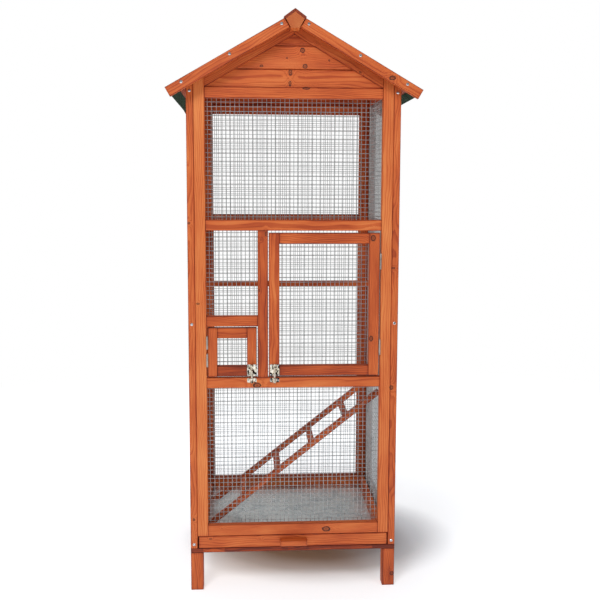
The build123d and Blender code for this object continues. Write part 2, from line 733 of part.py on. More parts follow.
with BuildPart() as ladder_hooks:
    top_x, top_z = on_ladder(ladder_run, 0)
    foot_x = on_ladder(-slack, half_section)[0]
    high, low = above_wire(top_z), above_wire(ladder_z + pitch)
    from_top = top_x - (high - hook_r - top_z) * tan(lean)
    from_foot = foot_x + (low - hook_r - ladder_z) / tan(lean)
    for y in (ladder_front_y, ladder_back_y):
        hook(from_top, perch_end, 1, cell_middle(side_wires_y, y), high)
        hook(from_foot, -perch_end, -1, cell_middle(side_wires_y, y), low)

# ---------------------------------------------------------------- export
sub_parts = {
    "base_frame": base_frame, "feet": feet,
    "front_corner_strips": front_corner_strips, "rear_corner_strips": rear_corner_strips,
    "front_stiles": front_stiles, "front_top_rail": front_top_rail,
    "front_upper_rail": front_upper_rail, "front_lower_rail": front_lower_rail,
    "front_bottom_rail": front_bottom_rail, "front_mullion": front_mullion,
    "front_short_rail": front_short_rail, "front_gable_rails": front_gable_rails,
    "front_gable_boards": front_gable_boards, "front_mesh_top": front_mesh_top,
    "front_mesh_window": front_mesh_window, "front_mesh_bottom": front_mesh_bottom,
    "left_side_stiles": left_side_stiles, "left_side_rails": left_side_rails,
    "left_side_mesh": left_side_mesh, "right_side_stiles": right_side_stiles,
    "right_side_rails": right_side_rails, "right_side_mesh": right_side_mesh,
    "back_stiles": back_stiles, "back_rails": back_rails, "back_mesh": back_mesh,
    "back_gable_rails": back_gable_rails, "back_gable_boards": back_gable_boards,
    "ridge_beam": ridge_beam, "ridge_cap": ridge_cap, **roof_boards,
    "roof_felt": roof_felt, "bargeboards": bargeboards, "perch": perch,
    "assembly_screws": assembly_screws, "hinge_frame_leaves": hinge_frame_leaves,
    "hinge_pins": hinge_pins, "bolt_keepers": bolt_keepers,
    "tray_front": tray_front, "tray_handle": tray_handle, "tray_walls": tray_walls,
    "tray_bottom": tray_bottom_board, "tray_liner": tray_liner,
    "main_door_stiles": main_door_stiles, "main_door_rails": main_door_rails,
    "main_door_mesh": main_door_mesh, "main_door_hinge_leaves": main_door_hinge_leaves,
    "main_door_bolt_housing": main_door_bolt_housing, "main_door_screws": main_door_screws,
    "main_door_bolt": main_door_bolt,
    "small_door_stiles": small_door_stiles, "small_door_rails": small_door_rails,
    "small_door_mesh": small_door_mesh, "small_door_hinge_leaves": small_door_hinge_leaves,
    "small_door_bolt_housing": small_door_bolt_housing, "small_door_screws": small_door_screws,
    "small_door_bolt": small_door_bolt,
    "ladder_stringers": ladder_stringers, "ladder_rungs": ladder_rungs, "ladder_hooks": ladder_hooks,
}

os.makedirs("parts", exist_ok=True)
for name, sub_part in sub_parts.items():
    sub_part.part.label = name
    export_step(sub_part.part, f"parts/{name}.step")
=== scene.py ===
"""Finishes for a wooden bird cage: stained fir, welded mesh, plated fittings, roofing felt."""
import json
from math import cos, pi, radians

import bmesh
import bpy
import numpy as np
from mathutils import Matrix, Vector


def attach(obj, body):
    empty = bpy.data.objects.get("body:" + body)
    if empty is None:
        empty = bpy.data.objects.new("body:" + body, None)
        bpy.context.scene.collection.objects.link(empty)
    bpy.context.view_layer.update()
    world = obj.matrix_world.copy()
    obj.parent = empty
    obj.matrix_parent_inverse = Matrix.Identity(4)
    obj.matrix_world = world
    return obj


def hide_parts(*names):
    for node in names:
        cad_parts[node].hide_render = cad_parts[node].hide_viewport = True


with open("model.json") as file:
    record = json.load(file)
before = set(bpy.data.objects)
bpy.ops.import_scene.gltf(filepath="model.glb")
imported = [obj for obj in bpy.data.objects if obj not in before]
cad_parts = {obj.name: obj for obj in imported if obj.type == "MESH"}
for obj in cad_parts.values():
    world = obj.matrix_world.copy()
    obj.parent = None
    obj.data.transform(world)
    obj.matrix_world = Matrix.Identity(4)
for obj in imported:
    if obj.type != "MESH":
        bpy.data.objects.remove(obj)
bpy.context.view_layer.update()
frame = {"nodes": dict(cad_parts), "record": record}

NODES = frame["nodes"]
BODY_OF = {node: body for body, nodes in frame["record"]["behaviour"]["bodies"].items()
           for node in nodes}
MM = 0.001
LEAST_ARRIS = 4.5 * MM         # a sawn edge shorter than this isn't rounded
SAWN_TURN = radians(20)        # faces that meet flatter than this have no edge between them
SMOOTH_TURN = radians(28)      # and flatter than this they shade as one
PITH_ASIDE = 26                # how far aside of its board's middle a log's pith lies, mm
PITH_DEPTH = (14, 46)          # and how far above or below it
END_GRAIN = 0.6                # a face that looks along the grain more than this is end grain
BOARD_STEP = 1900.0            # how far apart two boards with different shares lie in the log, mm
KNOT_CELL = 95                 # usual distance between small scattered knots, mm
SMALL_KNOT = 3.4               # their radius, mm
FINGER_LENGTH = 62             # length of a finger-jointed piece, mm

CAMERA_PLACE = (-0.12312, -2.72417, 1.17078)
CAMERA_RIGHT = (0.99794341, -0.06399385, 0.00370536)
CAMERA_UP = (0.00348305, 0.11185398, 0.99371855)
CAMERA_BACK = (-0.06400633, -0.99166198, 0.11184684)
CAMERA_SHIFT = (-0.0105, -0.02328)
LENS, SENSOR = 52.2545, 36.0   # millimetres
LIT_MIDDLE = (0.0, 0.0, 0.85)
LAMPS = (                      # name, place, diameter in metres, share of the key light's power
    ("key_light", (-1.3, -3.1, 3.3), 1.4, 1.0),
    ("fill_light", (2.4, -2.9, 1.9), 2.0, 0.34),
    ("back_light", (-0.8, 2.6, 3.4), 2.4, 0.5),
)

bl_info = {
    "name": "Bird cage finishes",
    "version": (1, 0, 0),
    "blender": (4, 5, 0),
    "location": "3D View > Sidebar > Bird cage",
    "description": "Timber, wire mesh, fittings and felt of a gabled bird cage",
    "category": "Object",
}

# Timber nodes by group, with how much lighter or darker than the rest each one is: mostly how well
# it took the stain, but the back stiles, back rails, back gable boards and front mullion are
# darker as painted shade.
FEET = {"feet": -0.13}
BASE = {"base_frame": -0.38}
PANELS = {
    "front_corner_strips": 0.02, "rear_corner_strips": -0.04, "front_stiles": 0.19,
    "front_top_rail": 0.0, "front_upper_rail": -0.01, "front_lower_rail": 0.05,
    # front_mullion: darker as painted shade, as if it sat back in shade between the doors.
    "front_bottom_rail": -0.04, "front_mullion": -0.14, "front_short_rail": -0.03,
    "left_side_stiles": 0.0, "left_side_rails": -0.05, "right_side_stiles": 0.0,
    # back_stiles and back_rails: darker as painted shade for the shade inside the cage.
    "right_side_rails": -0.05, "back_stiles": -0.10, "back_rails": -0.16,
}
GABLES = {
    "front_gable_rails": -0.05, "back_gable_rails": -0.03, "front_gable_boards": 0.0,
    # back_gable_boards: darker as painted shade for the shade inside the cage under the roof.
    "back_gable_boards": -0.12, "ridge_beam": 0.30, "ridge_cap": -0.34,
    "roof_board_left": -0.05, "roof_board_right": -0.05, "bargeboards": 0.02,
}
DOORS = {
    "main_door_stiles": 0.0, "main_door_rails": -0.20,
    "small_door_stiles": -0.04, "small_door_rails": -0.20,
}
TRAY = {"tray_front": -0.02, "tray_handle": -0.02, "tray_walls": 0.0}
INSIDE = {"perch": -0.12, "ladder_stringers": -0.06, "ladder_rungs": -0.06}
WIRE_MESH = [n for n in NODES if "_mesh" in n]

# Knots in the front: where each one's heart is (metres), and its half width and half height
# (millimetres).
FRONT_KNOTS = [
    (-0.1050, -0.274, 0.6085, 13.0, 9.0), (-0.2710, -0.274, 0.8449, 5.0, 3.2),
    (0.2249, -0.274, 1.0304, 8.0, 10.0), (0.2835, -0.274, 0.9446, 6.5, 3.0),
    (0.0960, -0.274, 0.1771, 13.5, 8.5), (0.2220, -0.274, 0.7418, 6.5, 9.0),
    (0.2823, -0.274, 0.5980, 6.0, 7.5), (0.0330, -0.274, 1.4455, 12.0, 4.5),
    (-0.0795, -0.274, 1.0416, 3.0, 7.0), (-0.2940, -0.274, 1.0722, 4.0, 4.0),
    (0.0225, -0.269, 1.5480, 7.5, 7.5), (0.0298, -0.269, 1.5050, 7.5, 7.0),
    (-0.0108, -0.269, 1.4880, 6.0, 9.0), (-0.0118, -0.269, 1.4580, 4.5, 8.0),
    (-0.0205, -0.269, 1.5270, 3.2, 3.2), (0.0967, -0.269, 1.5220, 3.0, 3.0),
    (-0.0905, -0.269, 1.5049, 5.5, 4.0), (0.2655, -0.322, 1.4699, 10.0, 7.0),
    (0.2919, -0.274, 0.0360, 7.0, 7.0), (-0.2890, -0.274, 0.2128, 4.0, 5.0),
]


def linear(colour):
    """The linear RGBA of an sRGB hex colour."""
    channels = [int(colour[i:i + 2], 16) / 255 for i in (1, 3, 5)]
    return tuple(c / 12.92 if c <= 0.04045 else ((c + 0.055) / 1.055) ** 2.4
                 for c in channels) + (1.0,)


def add_node(tree, kind, sockets=None, stops=None, **settings):
    """Adds a node with its own settings, its ramp's stops, and a value or link for each socket."""
    node = tree.nodes.new(kind)
    for name, value in settings.items():
        setattr(node, name, value)
    if stops:
        ramp = node.color_ramp
        while len(ramp.elements) < len(stops):
            ramp.elements.new(1.0)
        for element, (place, colour) in zip(ramp.elements, stops):
            element.position = place
            element.color = colour if isinstance(colour, tuple) else (colour,) * 3 + (1.0,)
    for key, value in (sockets or {}).items():
        if isinstance(value, bpy.types.Node):
            value = value.outputs[0]
        if isinstance(value, bpy.types.NodeSocket):
            tree.links.new(value, node.inputs[key])
        else:
            node.inputs[key].default_value = value
    return node


def new_material(name):
    """An empty node material with its output node."""
    material = bpy.data.materials.new(name)
    material.use_nodes = True
    tree = material.node_tree
    tree.nodes.clear()
    return material, tree


def close_material(tree, colour, roughness, height=None, strength=0.3, depth=0.0003, **fixed):
    """Ends a material in its shader, with a bump from height."""
    sockets = {"Base Color": colour, "Roughness": roughness}
    sockets.update({key.replace("_", " "): value for key, value in fixed.items()})
    if height is not None:
        sockets["Normal"] = add_node(tree, "ShaderNodeBump", {
            "Height": height, "Strength": strength, "Distance": depth})
    shader = add_node(tree, "ShaderNodeBsdfPrincipled", sockets)
    add_node(tree, "ShaderNodeOutputMaterial", {"Surface": shader})


# ------------------------------------------------------------------------------ meshes
def islands(count, edges):
    """The loose part that each vertex belongs to: each starts with its own number, and the
    smaller number of an edge's two ends spreads until nothing changes."""
    label = np.arange(count)
    while True:
        low = np.minimum(label[edges[:, 0]], label[edges[:, 1]])
        new = label.copy()
        np.minimum.at(new, edges[:, 0], low)
        np.minimum.at(new, edges[:, 1], low)
        new = new[new]
        if (new == label).all():
            return np.unique(label, return_inverse=True)[1]
        label = new


def merged_copy(node, flat=0.5):
    """A copy of a CAD node's mesh as whole faces: doubles merged, coplanar triangles joined."""
    form = bmesh.new()
    form.from_mesh(NODES[node].data)
    bmesh.ops.remove_doubles(form, verts=form.verts, dist=2e-6)
    if flat:
        bmesh.ops.dissolve_limit(form, angle_limit=radians(flat), verts=form.verts,
                                 edges=form.edges)
    mesh = bpy.data.meshes.new(node)
    form.to_mesh(mesh)
    form.free()
    return mesh


def arrays(mesh):
    """Vertex places and edge ends of a mesh as arrays."""
    places = np.empty(len(mesh.vertices) * 3, np.float32)
    mesh.vertices.foreach_get("co", places)
    edges = np.empty(len(mesh.edges) * 2, np.int32)
    mesh.edges.foreach_get("vertices", edges)
    return places.reshape(-1, 3).astype(float), edges.reshape(-1, 2)


def face_facts(mesh):
    """Normal, area and first vertex of every face, and the two faces at every edge."""
    normals = np.empty(len(mesh.polygons) * 3, np.float32)
    mesh.polygons.foreach_get("normal", normals)
    area = np.empty(len(mesh.polygons), np.float32)
    mesh.polygons.foreach_get("area", area)
    start = np.empty(len(mesh.polygons), np.int32)
    mesh.polygons.foreach_get("loop_start", start)
    corner = np.empty(len(mesh.loops), np.int32)
    mesh.loops.foreach_get("vertex_index", corner)
    edge_of = np.empty(len(mesh.loops), np.int32)
    mesh.loops.foreach_get("edge_index", edge_of)
    face_of = np.searchsorted(start, np.arange(len(mesh.loops)), side="right") - 1
    order = np.argsort(edge_of, kind="stable")
    count = np.bincount(edge_of, minlength=len(mesh.edges))
    first = np.concatenate([[0], np.cumsum(count)[:-1]])
    pair = np.zeros((len(mesh.edges), 2), int)
    whole = count == 2
    pair[whole, 0] = face_of[order[first[whole]]]
    pair[whole, 1] = face_of[order[first[whole] + 1]]
    return normals.reshape(-1, 3).astype(float), area, corner[start], pair


def spread(mesh, name, kind, domain, values):
    """Stores an array as a mesh attribute."""
    layer = mesh.attributes.new(name, kind, domain)
    layer.data.foreach_set("vector" if kind == "FLOAT_VECTOR" else "value",
                           np.ascontiguousarray(values, np.float32).ravel())


def timber(node, stain, settings, material):
    """A timber node as sawn boards with rounded arrises. Each board gets its own axes: the
    grain runs along its longest edge, its thickness across its broadest face. Every vertex
    keeps its place on those axes from the board's middle, in millimetres, and the board's own
    random share of the log, so that each board's rings are cut from another place in it."""
    mesh = merged_copy(node)
    places, edges = arrays(mesh)
    label = islands(len(places), edges)
    boards = label.max() + 1
    normals, area, first, pair = face_facts(mesh)
    run = places[edges[:, 1]] - places[edges[:, 0]]
    length = np.linalg.norm(run, axis=1)
    order = np.argsort(length)
    along = np.zeros((boards, 3))
    along[label[edges[order, 0]]] = (run / length[:, None])[order]
    broad = np.zeros((boards, 3))
    order = np.argsort(area)
    broad[label[first[order]]] = normals[order]
    broad -= along * np.sum(along * broad, axis=1)[:, None]
    broad /= np.linalg.norm(broad, axis=1)[:, None]
    across = np.cross(broad, along)
    axes = np.stack([along, across, broad], axis=1)
    own = np.einsum("vij,vj->vi", axes[label], places)
    low, high = np.full((boards, 3), 1e9), np.full((boards, 3), -1e9)
    np.minimum.at(low, label, own)
    np.maximum.at(high, label, own)
    own -= ((low + high) / 2)[label]
    half = (high - low) / 2 / MM
    draw = np.random.default_rng(sum(map(ord, node)) * 7919)
    seed, pith = draw.random(boards), draw.uniform(-PITH_ASIDE, PITH_ASIDE, boards)
    depth = draw.uniform(*PITH_DEPTH, boards) * draw.choice([-1, 1], boards)
    # tone: the group's offset from the rest, which for some boards is painted shade, with random
    # board-to-board variation.
    tone = stain + draw.normal(0, settings.board_variation, boards)
    spread(mesh, "grain", "FLOAT_VECTOR", "POINT", own / MM)
    spread(mesh, "board", "FLOAT_VECTOR", "POINT", np.stack([seed, pith, depth], 1)[label])
    spread(mesh, "reach", "FLOAT_VECTOR", "POINT", half[label])
    spread(mesh, "tone", "FLOAT", "POINT", tone[label])
    cut = np.abs(np.sum(normals * along[label[first]], axis=1)) > END_GRAIN
    spread(mesh, "end_cut", "FLOAT", "FACE", cut)
    turn = np.sum(normals[pair[:, 0]] * normals[pair[:, 1]], axis=1)
    arris = (turn < cos(SAWN_TURN)) & (length > LEAST_ARRIS) & (pair[:, 0] != pair[:, 1])
    spread(mesh, "bevel_weight_edge", "FLOAT", "EDGE", arris)
    mesh.shade_smooth()
    mesh.set_sharp_from_angle(angle=SMOOTH_TURN)
    piece = bpy.data.objects.new(f"{node}_wood", mesh)
    bpy.context.scene.collection.objects.link(piece)
    bevel = piece.modifiers.new("Arrises", "BEVEL")
    bevel.limit_method = "WEIGHT"
    bevel.width = settings.lap_round if "gable_boards" in node else settings.arris
    bevel.segments = 2
    bevel.harden_normals = True
    mesh.materials.append(material)
    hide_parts(node)
    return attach(piece, BODY_OF[node])


def wires(node, settings, material):
    """Round wires in place of a mesh node's square ones: each wire's box gives its middle, its
    length and its direction, and a ring of points a radius from the axis is carried from end
    to end, with a flat cap on each."""
    mesh = merged_copy(node, flat=0)
    places, edges = arrays(mesh)
    label = islands(len(places), edges)
    bpy.data.meshes.remove(mesh)
    count = label.max() + 1
    low, high = np.full((count, 3), 1e9), np.full((count, 3), -1e9)
    np.minimum.at(low, label, places)
    np.maximum.at(high, label, places)
    middle, size = (low + high) / 2, high - low
    axis = np.argmax(size, axis=1)
    basis = np.eye(3)
    along, first, second = basis[axis], basis[(axis + 1) % 3], basis[(axis + 2) % 3]
    sides = settings.sides
    angle = np.arange(sides) * 2 * pi / sides
    radius = settings.diameter / 2
    ring = radius * (np.cos(angle)[None, :, None] * first[:, None] +
                     np.sin(angle)[None, :, None] * second[:, None])
    half = (size.max(axis=1) / 2)[:, None] * along
    points = np.stack([middle - half, middle + half], 1)[:, :, None] + ring[:, None]
    points = points.reshape(-1, 3)
    i = np.arange(sides)
    j = (i + 1) % sides
    walls = np.stack([i, j, j + sides, i + sides], 1)
    base = (np.arange(count) * 2 * sides)[:, None, None]
    quads = (walls[None] + base).reshape(-1, 4)
    caps = np.stack([i[::-1], i + sides])
    ends = (caps[None] + base).reshape(-1, sides)
    tube = bpy.data.meshes.new(f"{node}_wire")
    tube.from_pydata(points, [], quads.tolist() + ends.tolist())
    tube.shade_smooth()
    tube.set_sharp_from_angle(angle=radians(70))
    tube.materials.append(material)
    piece = bpy.data.objects.new(f"{node}_wire", tube)
    bpy.context.scene.collection.objects.link(piece)
    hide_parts(node)
    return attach(piece, BODY_OF[node])


def finish_nodes(names, material):
    """Gives CAD nodes that keep their own shape a finish."""
    for name in names:
        slots = NODES[name].material_slots
        if not slots:
            raise RuntimeError(f"{name} has no material slot")
        for slot in slots:
            slot.link = "OBJECT"
            slot.material = material


# ------------------------------------------------------------------------------ finishes
def stained_fir(settings, name, finger_jointed=False):
    """Fir, planed and brushed with an orange-red water stain: the soft early wood drinks it and
    the hard late wood stays a thin darker line, end grain goes dark, and the coat is thin and
    satin, so the fibres still catch the light."""
    material, tree = new_material(name)
    grain = add_node(tree, "ShaderNodeAttribute", attribute_name="grain")
    place = add_node(tree, "ShaderNodeSeparateXYZ", {0: grain.outputs["Vector"]})
    board = add_node(tree, "ShaderNodeAttribute", attribute_name="board")
    share = add_node(tree, "ShaderNodeSeparateXYZ", {0: board.outputs["Vector"]})
    reach = add_node(tree, "ShaderNodeAttribute", attribute_name="reach")
    limit = add_node(tree, "ShaderNodeSeparateXYZ", {0: reach.outputs["Vector"]})
    tone = add_node(tree, "ShaderNodeAttribute", attribute_name="tone")
    seed = share.outputs[0]
    away = add_node(tree, "ShaderNodeMath", {0: seed, 1: BOARD_STEP, 2: place.outputs[0]},
                    operation="MULTIPLY_ADD")
    log = add_node(tree, "ShaderNodeCombineXYZ",
                   {0: away, 1: place.outputs[1], 2: place.outputs[2]})
    # Slow drift of the rings along the log: one wave in about 170 mm, a few millimetres wide.
    slow = add_node(tree, "ShaderNodeVectorMath", {0: log, 1: (0.006, 0.022, 0.022)},
                    operation="MULTIPLY")
    drift = add_node(tree, "ShaderNodeTexNoise", {"Vector": slow, "Scale": 1.0, "Detail": 2.0,
                                                  "Roughness": 0.45})
    drift = add_node(tree, "ShaderNodeMath", {0: drift, 1: 30.0, 2: share.outputs[1]},
                     operation="MULTIPLY_ADD")
    side = add_node(tree, "ShaderNodeMath", {0: place.outputs[1], 1: drift}, operation="ADD")
    deep = add_node(tree, "ShaderNodeMath", {0: place.outputs[2], 1: share.outputs[2]},
                    operation="ADD")
    flat = add_node(tree, "ShaderNodeCombineXYZ", {0: side, 1: deep})
    radius = add_node(tree, "ShaderNodeVectorMath", {0: flat}, operation="LENGTH")
    # Knots: how many knot radii away the nearest one is, first the small scattered ones.
    cell = add_node(tree, "ShaderNodeVectorMath", {0: log, 1: (1 / 110, 1 / 75, 1 / 75)},
                    operation="MULTIPLY")
    cell = add_node(tree, "ShaderNodeTexVoronoi", {"Vector": cell, "Scale": 1.0,
                                                   "Randomness": 1.0})
    knot = add_node(tree, "ShaderNodeMath", {0: cell.outputs["Distance"],
                                             1: KNOT_CELL / SMALL_KNOT}, operation="MULTIPLY")
    spot = add_node(tree, "ShaderNodeTexCoord")
    for x, y, z, wide, high in FRONT_KNOTS:
        gap = add_node(tree, "ShaderNodeVectorMath",
                       {0: spot.outputs["Object"], 1: (x, y, z)}, operation="SUBTRACT")
        gap = add_node(tree, "ShaderNodeVectorMath",
                       {0: gap, 1: (1000 / wide, 1000 / wide, 1000 / high)},
                       operation="MULTIPLY")
        gap = add_node(tree, "ShaderNodeVectorMath", {0: gap}, operation="LENGTH")
        knot = add_node(tree, "ShaderNodeMath", {0: knot, 1: gap.outputs["Value"]},
                        operation="MINIMUM")
    # A ragged knot edge, then the rings bend round it by up to 9 mm and fade in two radii.
    ragged = add_node(tree, "ShaderNodeTexNoise", {"Vector": grain.outputs["Vector"],
                                                   "Scale": 0.35, "Detail": 2.0})
    ragged = add_node(tree, "ShaderNodeMath", {0: ragged, 1: 0.7, 2: 0.65},
                      operation="MULTIPLY_ADD")
    knot = add_node(tree, "ShaderNodeMath", {0: knot, 1: ragged}, operation="MULTIPLY")
    near = add_node(tree, "ShaderNodeMath", {0: knot, 1: knot}, operation="MULTIPLY")
    near = add_node(tree, "ShaderNodeMath", {0: near, 1: -0.28}, operation="MULTIPLY")
    near = add_node(tree, "ShaderNodeMath", {0: near}, operation="EXPONENT")
    radius = add_node(tree, "ShaderNodeMath", {0: near, 1: 9.0, 2: radius.outputs["Value"]},
                      operation="MULTIPLY_ADD")
    ring = add_node(tree, "ShaderNodeMath", {0: radius, 1: 1 / settings.ring_spacing},
                    operation="MULTIPLY")
    ring = add_node(tree, "ShaderNodeMath", {0: ring}, operation="FRACT")
    late = add_node(tree, "ShaderNodeValToRGB", {0: ring}, stops=[
        (0.0, 0.12), (0.5, 0.2), (0.82, 0.9), (0.93, 1.0), (1.0, 0.12)])
    # Fibres: streaks about 0.8 mm wide and 80 mm long, far coarser than real ones so that they
    # show.
    thread = add_node(tree, "ShaderNodeVectorMath", {0: log, 1: (0.012, 1.1, 1.1)},
                      operation="MULTIPLY")
    fibre = add_node(tree, "ShaderNodeTexNoise", {"Vector": thread, "Scale": 1.0, "Detail": 4.0,
                                                  "Roughness": 0.65})
    # Blotches where the wood drank more stain, about 35 mm wide and 140 mm long.
    patch = add_node(tree, "ShaderNodeVectorMath", {0: log, 1: (0.007, 0.028, 0.028)},
                     operation="MULTIPLY")
    blotch = add_node(tree, "ShaderNodeTexNoise", {"Vector": patch, "Scale": 1.0, "Detail": 3.0})
    shade = add_node(tree, "ShaderNodeMath", {0: late, 1: -settings.ring_contrast, 2: 0.50},
                     operation="MULTIPLY_ADD")
    shade = add_node(tree, "ShaderNodeMath", {0: fibre, 1: 0.86, 2: shade},
                     operation="MULTIPLY_ADD")
    shade = add_node(tree, "ShaderNodeMath", {0: blotch, 1: 0.76, 2: shade},
                     operation="MULTIPLY_ADD")
    # The board's tone, which holds painted shade for some of the inner boards.
    shade = add_node(tree, "ShaderNodeMath", {0: shade, 1: tone.outputs["Fac"]},
                     operation="ADD")
    shade = add_node(tree, "ShaderNodeMath", {0: shade, 1: -0.65}, operation="ADD")
    if finger_jointed:
        # Short lengths joined end to end, no two of them the same tone.
        step = add_node(tree, "ShaderNodeMath", {0: away, 1: 1 / FINGER_LENGTH},
                        operation="MULTIPLY")
        step = add_node(tree, "ShaderNodeMath", {0: step}, operation="FLOOR")
        step = add_node(tree, "ShaderNodeTexWhiteNoise", {"W": step}, noise_dimensions="1D")
        shade = add_node(tree, "ShaderNodeMath", {0: step, 1: 0.5, 2: shade},
                         operation="MULTIPLY_ADD")
        shade = add_node(tree, "ShaderNodeMath", {0: shade, 1: -0.25}, operation="ADD")
    # Darker in the last millimetre before a joint, fading out in six more: partly stain gathered
    # and soaked in there, partly painted shade standing in for the shadow in the groove between
    # the boards.
    far = add_node(tree, "ShaderNodeMath", {0: place.outputs[0]}, operation="ABSOLUTE")
    far = add_node(tree, "ShaderNodeMath", {0: limit.outputs[0], 1: far}, operation="SUBTRACT")
    cut = add_node(tree, "ShaderNodeAttribute", attribute_name="end_cut")
    far = add_node(tree, "ShaderNodeMath", {0: cut.outputs["Fac"], 1: 9.0, 2: far},
                   operation="MULTIPLY_ADD")
    joint = add_node(tree, "ShaderNodeMapRange", {0: far, 1: 0.3, 2: 1.6, 3: -0.42, 4: 0.0})
    shade = add_node(tree, "ShaderNodeMath", {0: shade, 1: joint}, operation="ADD")
    soaked = add_node(tree, "ShaderNodeMapRange", {0: far, 1: 0.0, 2: 8.0, 3: -0.12, 4: 0.0})
    shade = add_node(tree, "ShaderNodeMath", {0: shade, 1: soaked}, operation="ADD")
    # Darker along the sawn edges too, in the outer 2 mm: partly stain gathered in the rounded
    # arrises, partly painted shade standing in for the shadow along the edges and in the grooves
    # between boards.
    inside = add_node(tree, "ShaderNodeVectorMath", {0: grain.outputs["Vector"]},
                      operation="ABSOLUTE")
    inside = add_node(tree, "ShaderNodeVectorMath", {0: reach.outputs["Vector"], 1: inside},
                      operation="SUBTRACT")
    inside = add_node(tree, "ShaderNodeSeparateXYZ", {0: inside})
    inside = add_node(tree, "ShaderNodeMath", {0: inside.outputs[1], 1: inside.outputs[2]},
                      operation="MAXIMUM")
    arris = add_node(tree, "ShaderNodeMapRange", {0: inside, 1: 0.9, 2: 2.2, 3: -0.34, 4: 0.0})
    shade = add_node(tree, "ShaderNodeMath", {0: shade, 1: arris}, operation="ADD")
    # The lowest shades, reached at joints and along the arrises, take Deep: there it is painted
    # shade as well as stain.
    colour = add_node(tree, "ShaderNodeValToRGB", {0: shade}, stops=[
        (0.0, tuple(settings.deep)), (0.32, tuple(settings.dark)), (0.62, tuple(settings.body)),
        (1.0, tuple(settings.light))])
    mask = add_node(tree, "ShaderNodeValToRGB", {0: knot}, stops=[
        (0.0, 0.85), (0.25, 0.5), (0.5, 0.4), (0.68, 1.0), (0.86, 0.95), (0.97, 0.0)])
    colour = add_node(tree, "ShaderNodeMix", {0: mask, 6: colour.outputs[0],
                                              7: tuple(settings.knot)}, data_type="RGBA")
    cut = add_node(tree, "ShaderNodeMath", {0: cut.outputs["Fac"], 1: 0.3},
                   operation="MULTIPLY")
    colour = add_node(tree, "ShaderNodeMix", {0: cut, 6: colour.outputs[2],
                                              7: tuple(settings.deep)}, data_type="RGBA")
    gloss = add_node(tree, "ShaderNodeMapRange", {0: fibre, 1: 0.3, 2: 0.7, 3: 0.5, 4: 0.66})
    raised = add_node(tree, "ShaderNodeMath", {0: late, 1: 0.35, 2: fibre.outputs[0]},
                      operation="MULTIPLY_ADD")
    close_material(tree, colour.outputs[2], gloss.outputs[0], raised, strength=0.25,
                   depth=0.0004, Specular_IOR_Level=0.42)
    return material


def galvanised_steel(name, colour, worn, spangle_mm, roughness, metallic=0.85):
    """Steel dipped in zinc: a cool grey skin that froze in flat crystals, each of which takes the
    light a little differently, with dull white bloom between bright places."""
    material, tree = new_material(name)
    spot = add_node(tree, "ShaderNodeTexCoord")
    flake = add_node(tree, "ShaderNodeTexVoronoi", {"Vector": spot.outputs["Object"],
                                                    "Scale": 1000 / spangle_mm})
    bloom = add_node(tree, "ShaderNodeTexNoise", {"Vector": spot.outputs["Object"],
                                                  "Scale": 1000 / 60, "Detail": 5.0})
    crystal = add_node(tree, "ShaderNodeSeparateColor", {0: flake.outputs["Color"]})
    mixed = add_node(tree, "ShaderNodeMath", {0: crystal.outputs[0], 1: 0.5, 2: bloom.outputs[0]},
                     operation="MULTIPLY_ADD")
    shade = add_node(tree, "ShaderNodeValToRGB", {0: mixed}, stops=[
        (0.35, linear(worn)), (0.85, linear(colour))])
    rough = add_node(tree, "ShaderNodeMapRange", {0: mixed, 1: 0.35, 2: 0.9,
                                                  3: roughness + 0.1, 4: roughness - 0.06})
    close_material(tree, shade.outputs[0], rough.outputs[0], bloom.outputs[0], strength=0.08,
                   depth=0.0002, Metallic=metallic)
    return material


def plated(name, colour, dull, roughness, scratch_mm, press=0.0):
    """Pressed steel with a thin bright plate over it: smooth, with fine draw marks, faint hand
    marks and slightly darker patches where the plate is thin. The press leaves its flats
    gently dished, press metres deep every 13 mm, which is what breaks up their reflections."""
    material, tree = new_material(name)
    spot = add_node(tree, "ShaderNodeTexCoord")
    patch = add_node(tree, "ShaderNodeTexNoise", {"Vector": spot.outputs["Object"],
                                                  "Scale": 1000 / 14, "Detail": 4.0})
    marks = add_node(tree, "ShaderNodeVectorMath", {0: spot.outputs["Object"],
                                                    1: (6.0, 6.0, 0.35)}, operation="MULTIPLY")
    marks = add_node(tree, "ShaderNodeTexNoise", {"Vector": marks, "Scale": 1000 / scratch_mm / 6,
                                                  "Detail": 3.0})
    shade = add_node(tree, "ShaderNodeValToRGB", {0: patch.outputs[0]}, stops=[
        (0.32, linear(dull)), (0.6, linear(colour))])
    rough = add_node(tree, "ShaderNodeMapRange", {0: marks.outputs[0], 1: 0.3, 2: 0.7,
                                                  3: roughness, 4: roughness + 0.1})
    dish = add_node(tree, "ShaderNodeTexNoise", {"Vector": spot.outputs["Object"],
                                                 "Scale": 1000 / 13, "Detail": 0.0})
    dish = add_node(tree, "ShaderNodeMath", {0: dish, 1: press / 0.0001}, operation="MULTIPLY")
    height = add_node(tree, "ShaderNodeMath", {0: marks, 1: 0.05, 2: dish},
                      operation="MULTIPLY_ADD")
    close_material(tree, shade.outputs[0], rough.outputs[0], height, strength=1.0,
                   depth=0.0001, Metallic=1.0)
    return material


def birch_ply(name):
    """Thin rotary-cut plywood, bare: pale, with broad wavy figure and a few grey mineral marks."""
    material, tree = new_material(name)
    spot = add_node(tree, "ShaderNodeTexCoord")
    sheet = add_node(tree, "ShaderNodeVectorMath", {0: spot.outputs["Object"],
                                                    1: (6.0, 45.0, 45.0)}, operation="MULTIPLY")
    figure = add_node(tree, "ShaderNodeTexNoise", {"Vector": sheet, "Scale": 1.0, "Detail": 5.0,
                                                   "Distortion": 0.8})
    shade = add_node(tree, "ShaderNodeValToRGB", {0: figure.outputs[0]}, stops=[
        (0.3, linear("#8C5C38")), (0.5, linear("#B98556")), (0.7, linear("#CFA273"))])
    close_material(tree, shade.outputs[0], 0.7, figure.outputs[0], strength=0.15, depth=0.0003)
    return material


